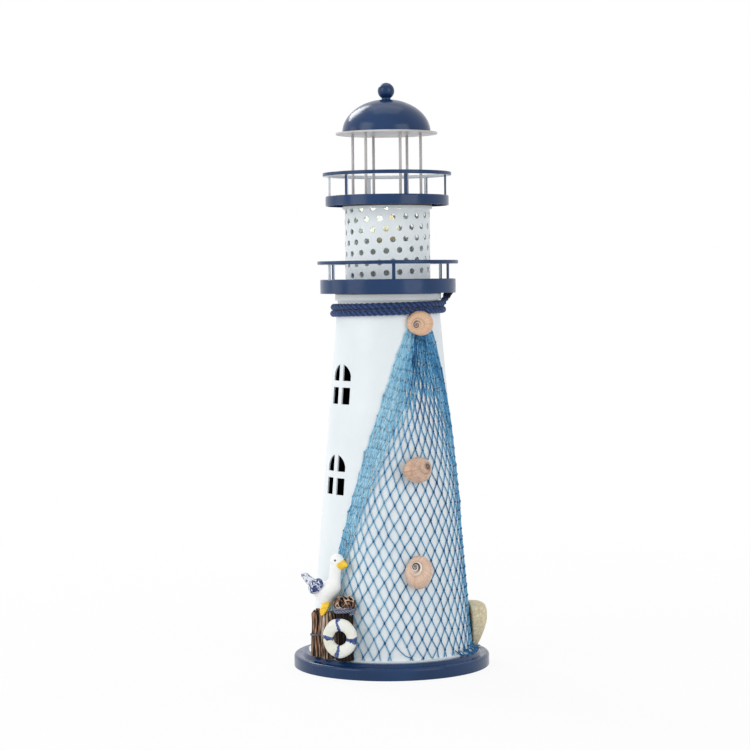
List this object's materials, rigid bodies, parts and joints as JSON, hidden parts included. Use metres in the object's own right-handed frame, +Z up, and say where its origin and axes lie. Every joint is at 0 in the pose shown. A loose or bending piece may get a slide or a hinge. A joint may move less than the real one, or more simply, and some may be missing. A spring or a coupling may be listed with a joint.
{
  "type": "tin lighthouse ornament",
  "caption": "Free-standing tin lighthouse: white tapered tower with railed galleries, pierced lantern drum, lift-off domed lid and LED tea light, dressed with rope, net, shells and a gull.",
  "frame": {"origin": "middle of the base pan's rim on the surface it stands on", "axes": "+Z up along the tower's axis; the front, with the net and the gull, looks along -Y; +X is to the right as seen from the front"},
  "size_m": [0.104, 0.104, 0.3085],
  "materials": {
    "navy_enamel": "satin navy enamel on tin",
    "white_enamel": "satin white enamel on tin",
    "two_tone_enamel": "navy enamel outside, white inside",
    "navy_rope": "laid cotton rope dyed navy",
    "net_twine": "knotted blue twine",
    "sea_shell": "satin peach shell",
    "sand_shell": "rough sandy shell",
    "bark": "painted resin bark",
    "twine_band": "grey-blue twine",
    "ring_paint": "painted resin, cream with navy bands",
    "gull_paint": "painted resin, white with grey-blue wings",
    "candle_plastic": "moulded ivory plastic",
    "flame_plastic": "translucent amber plastic",
    "lamp_plastic": "clear lamp",
    "cell_steel": "nickel-plated steel",
    "knob_plastic": "moulded black plastic"
  },
  "bodies": {
    "tower": {"base_pan": "navy_enamel", "tower_shell": "white_enamel", "neck_collar": "white_enamel", "lower_deck": "navy_enamel", "lower_posts": "two_tone_enamel", "lower_rail": "two_tone_enamel", "lantern_drum": "white_enamel", "neck_rope": "navy_rope", "fishing_net": "net_twine", "shell_top": "sea_shell", "shell_middle": "sea_shell", "shell_bottom": "sea_shell", "cockle": "sand_shell", "pile_left": "bark", "pile_middle": "bark", "pile_right": "bark", "band_left": "twine_band", "band_right": "twine_band", "life_ring": "ring_paint", "gull": "gull_paint"},
    "lid": {"upper_deck": "navy_enamel", "lid_skirt": "white_enamel", "upper_posts": "two_tone_enamel", "upper_rail": "two_tone_enamel", "roof_rods": "white_enamel", "roof_plate": "white_enamel", "roof_dome": "navy_enamel", "finial_ball": "navy_enamel"},
    "tealight": {"tealight_cup": "candle_plastic", "tealight_plate": "candle_plastic", "battery_door": "candle_plastic", "coin_cell": "cell_steel", "lamp": "lamp_plastic", "flame_lens": "flame_plastic"},
    "switch": {"slide_knob": "knob_plastic"}
  },
  "joints": [
    {"name": "lid_lift", "type": "slide", "parent": "tower", "child": "lid", "axis": [0, 0, 1], "range_m": [0, 0.1]},
    {"name": "tealight_lift", "type": "slide", "parent": "tower", "child": "tealight", "axis": [0, 0, 1], "range_m": [0, 0.05]},
    {"name": "switch_slide", "type": "slide", "parent": "tealight", "child": "switch", "axis": [1, 0, 0], "range_m": [0, 0.003]}
  ],
  "couplings": [
    {"joint": "tealight_lift", "follows": "lid_lift", "ratio": 0.5}
  ]
}
